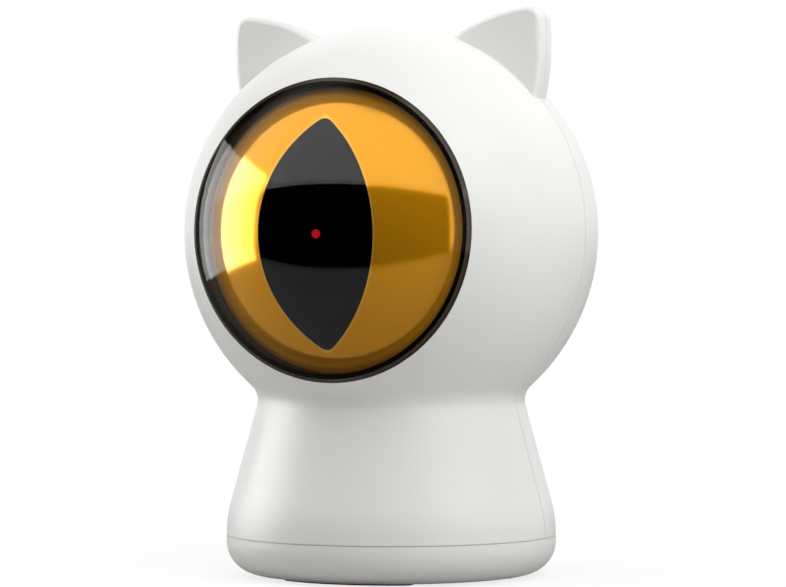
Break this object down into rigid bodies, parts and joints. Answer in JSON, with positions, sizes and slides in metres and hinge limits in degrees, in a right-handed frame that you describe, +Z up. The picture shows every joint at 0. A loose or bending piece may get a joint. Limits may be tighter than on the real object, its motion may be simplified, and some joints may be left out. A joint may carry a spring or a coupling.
{
  "type": "automatic cat laser toy",
  "caption": "Round cat-head laser toy with ears and a large slit-pupil eye on a flared base; a geared pan and tilt carriage inside swings a laser spot behind the eye.",
  "frame": {"origin": "centre of the round footprint, on the surface that the feet stand on", "axes": "+Z up along the axis of the head and base, -Y out of the middle of the eye, +X towards the toy's own left ear, on the right seen from the front"},
  "size_m": [0.096, 0.096, 0.1304],
  "materials": {
    "shell_white": "satin white moulded plastic",
    "rim_black": "polished black",
    "lens_clear": "polished, clear",
    "iris_amber": "polished amber",
    "window_dark": "polished, smoked",
    "inner_grey": "fine matt",
    "bay_grey": "fine matt",
    "steel": "plain zinc-plated",
    "motor_steel": "brushed",
    "brass": "machined",
    "gear_acetal": "smooth",
    "lens_red": "polished, red",
    "black_plastic": "fine matt",
    "diode_gold": "gold-plated",
    "board_green": "solder mask",
    "capacitor_blue": "sleeved",
    "header_white": "smooth",
    "cell_sleeve": "plain sleeve, satin",
    "contact_nickel": "nickel-plated",
    "rubber": "matt",
    "button_grey": "fine matt",
    "light_white": "translucent"
  },
  "bodies": {
    "housing": {"front_shell": "shell_white", "rear_shell": "shell_white", "base_cover": "shell_white", "battery_door": "shell_white", "battery_door_screw": "steel", "rubber_feet": "rubber", "base_screws": "steel", "shell_screws": "steel", "eye_bezel": "rim_black", "eye_lens": "lens_clear", "iris_dome": "iris_amber", "pupil_window": "window_dark", "eye_retainer": "inner_grey", "eye_screws": "steel", "chassis": "inner_grey", "chassis_screws": "steel", "pan_motor_can": "motor_steel", "pan_gearbox": "brass", "pan_motor_screws": "steel", "pan_bush": "brass", "thrust_washer": "gear_acetal", "main_board": "board_green", "main_board_screws": "steel", "controller_chip": "black_plastic", "board_capacitors": "capacitor_blue", "wire_headers": "header_white", "battery_bay": "bay_grey", "battery_cells": "cell_sleeve", "bay_contacts": "contact_nickel", "door_contacts": "contact_nickel", "contact_leaves": "contact_nickel", "control_board": "board_green", "control_board_screws": "steel", "usb_socket": "motor_steel", "usb_tongue": "black_plastic", "button_switch": "black_plastic", "status_led": "light_white", "light_pipe": "light_white"},
    "pan_head": {"pan_yoke": "inner_grey", "pan_gear": "gear_acetal", "pan_shaft": "steel", "pan_clip": "steel", "tilt_motor_can": "motor_steel", "tilt_gearbox": "brass", "tilt_motor_screws": "steel", "tilt_bushes": "brass"},
    "laser_cradle": {"laser_holder": "inner_grey", "tilt_shaft": "steel", "tilt_gear": "gear_acetal", "laser_barrel": "brass", "laser_lens": "lens_red", "laser_lens_ring": "black_plastic", "laser_diode": "diode_gold", "laser_set_screw": "steel"},
    "pan_drive": {"pan_pinion": "brass", "pan_motor_shaft": "steel"},
    "tilt_drive": {"tilt_pinion": "brass", "tilt_motor_shaft": "steel"},
    "button": {"power_button": "button_grey", "switch_plunger": "button_grey"}
  },
  "joints": [
    {"name": "laser_pan", "type": "hinge", "parent": "housing", "child": "pan_head", "pos_m": [0, -0.023, 0.07828], "axis": [0, 0, 1], "range_deg": [-25, 25]},
    {"name": "laser_tilt", "type": "hinge", "parent": "pan_head", "child": "laser_cradle", "pos_m": [0, -0.023, 0.07828], "axis": [1, 0, 0], "range_deg": [-10, 25]},
    {"name": "pan_drive_turn", "type": "hinge", "parent": "housing", "child": "pan_drive", "pos_m": [0, -0.009, 0.07828], "axis": [0, 0, 1], "range_deg": [-77, 77]},
    {"name": "tilt_drive_turn", "type": "hinge", "parent": "pan_head", "child": "tilt_drive", "pos_m": [0, -0.011, 0.07828], "axis": [1, 0, 0], "range_deg": [-62, 26]},
    {"name": "button_press", "type": "slide", "parent": "housing", "child": "button", "axis": [0, -1, 0], "range_m": [0, 0.0004], "stiffness_N_per_m": 400}
  ],
  "couplings": [
    {"joint": "pan_drive_turn", "follows": "laser_pan", "ratio": -3},
    {"joint": "tilt_drive_turn", "follows": "laser_tilt", "ratio": -2.4286}
  ]
}
